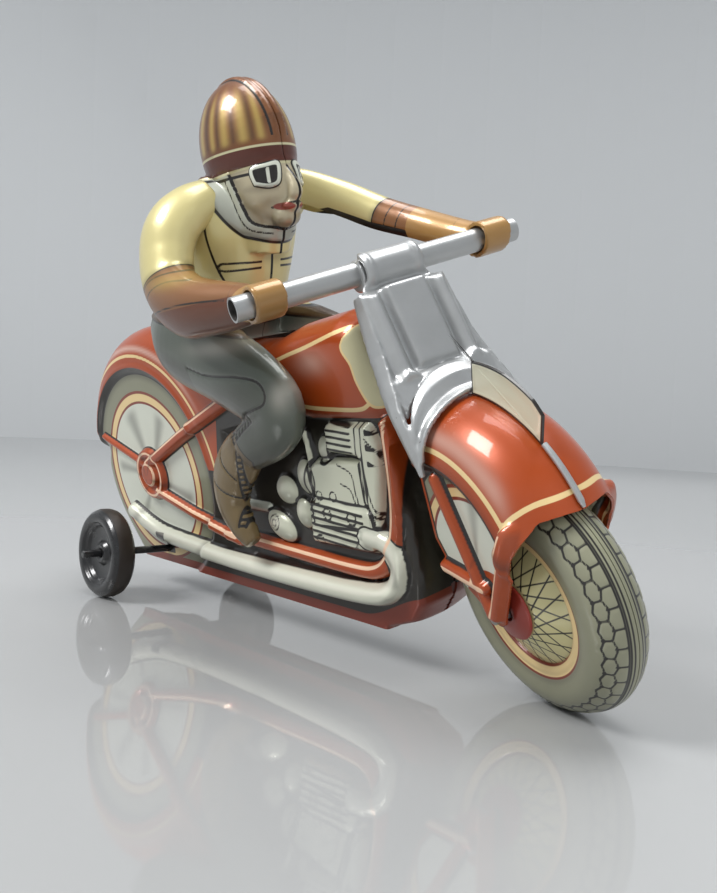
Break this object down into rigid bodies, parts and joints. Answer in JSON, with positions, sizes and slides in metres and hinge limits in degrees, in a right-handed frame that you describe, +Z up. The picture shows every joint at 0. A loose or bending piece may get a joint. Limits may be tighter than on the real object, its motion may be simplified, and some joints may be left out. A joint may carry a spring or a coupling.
{
  "type": "tin wind-up motorcycle",
  "caption": "Lithographed tin wind-up motorcycle with a rider, leaning on small outrigger wheels, with a steered front fork and clockwork inside.",
  "frame": {"origin": "under the middle of the whole machine, on the ground it stands on", "axes": "+X forward, +Y to the rider's left, +Z up"},
  "size_m": [0.177, 0.0694, 0.1205],
  "materials": {
    "red_lithograph": "glossy orange-red lithographed tin",
    "cream_lithograph": "satin cream lithographed tin",
    "silver_paint": "silver paint on tin",
    "tyre_lithograph": "grey-olive lithographed tin",
    "black_paint": "glossy black paint on tin",
    "bare_steel": "bare tinned steel",
    "brass": "cut brass"
  },
  "bodies": {
    "root": {"body_half_right": "red_lithograph", "body_half_left": "red_lithograph", "rider_half_right": "cream_lithograph", "rider_half_left": "cream_lithograph", "rider_arm_right": "cream_lithograph", "rider_arm_left": "cream_lithograph", "motor_plate_right": "bare_steel", "motor_plate_left": "bare_steel", "motor_pillar_1": "bare_steel", "motor_pillar_2": "bare_steel", "motor_pillar_3": "bare_steel", "mainspring": "bare_steel"},
    "fork": {"handlebar_shield": "silver_paint", "mudguard_half_right": "red_lithograph", "mudguard_half_left": "red_lithograph", "mudguard_bead": "silver_paint", "number_plate": "cream_lithograph", "front_axle": "bare_steel", "steering_pin": "bare_steel", "steering_washer": "bare_steel"},
    "front_wheel": {"front_wheel_half_right": "tyre_lithograph", "front_wheel_half_left": "tyre_lithograph", "front_hub_right": "red_lithograph", "front_hub_left": "red_lithograph"},
    "drive": {"outrigger_wheel_right": "black_paint", "outrigger_wheel_left": "black_paint", "drive_axle": "black_paint", "drive_pinion": "brass"},
    "second_shaft": {"second_arbor": "bare_steel", "second_wheel": "brass", "second_pinion": "brass"},
    "great": {"great_wheel": "brass", "click": "bare_steel", "click_spring": "bare_steel"},
    "winder": {"winding_arbor": "bare_steel", "ratchet_wheel": "bare_steel", "winding_key": "bare_steel"}
  },
  "joints": [
    {"name": "steering", "type": "hinge", "parent": "root", "child": "fork", "pos_m": [0.04331, -0.00183, 0.06297], "axis": [-0.4067, -0.2303, 0.884], "range_deg": [-2, 2]},
    {"name": "front_wheel_spin", "type": "hinge", "parent": "fork", "child": "front_wheel", "pos_m": [0.06708, 0.00774, 0.02096], "axis": [0.2747, 0.8921, 0.3588], "continuous": true},
    {"name": "drive_spin", "type": "hinge", "parent": "root", "child": "drive", "pos_m": [-0.05374, 0.01457, 0.0116], "axis": [0, 1, 0], "continuous": true},
    {"name": "second_spin", "type": "hinge", "parent": "root", "child": "second_shaft", "pos_m": [-0.04623, 0.01457, 0.01836], "axis": [0, 1, 0], "continuous": true},
    {"name": "great_spin", "type": "hinge", "parent": "root", "child": "great", "pos_m": [-0.03621, 0.01457, 0.02369], "axis": [0, 1, 0], "continuous": true},
    {"name": "key_spin", "type": "hinge", "parent": "root", "child": "winder", "pos_m": [-0.03621, 0.01457, 0.02369], "axis": [0, 1, 0], "continuous": true}
  ],
  "couplings": [
    {"joint": "second_spin", "follows": "drive_spin", "ratio": -0.42857},
    {"joint": "great_spin", "follows": "drive_spin", "ratio": 0.10714},
    {"joint": "key_spin", "follows": "drive_spin", "ratio": 0.10714}
  ]
}
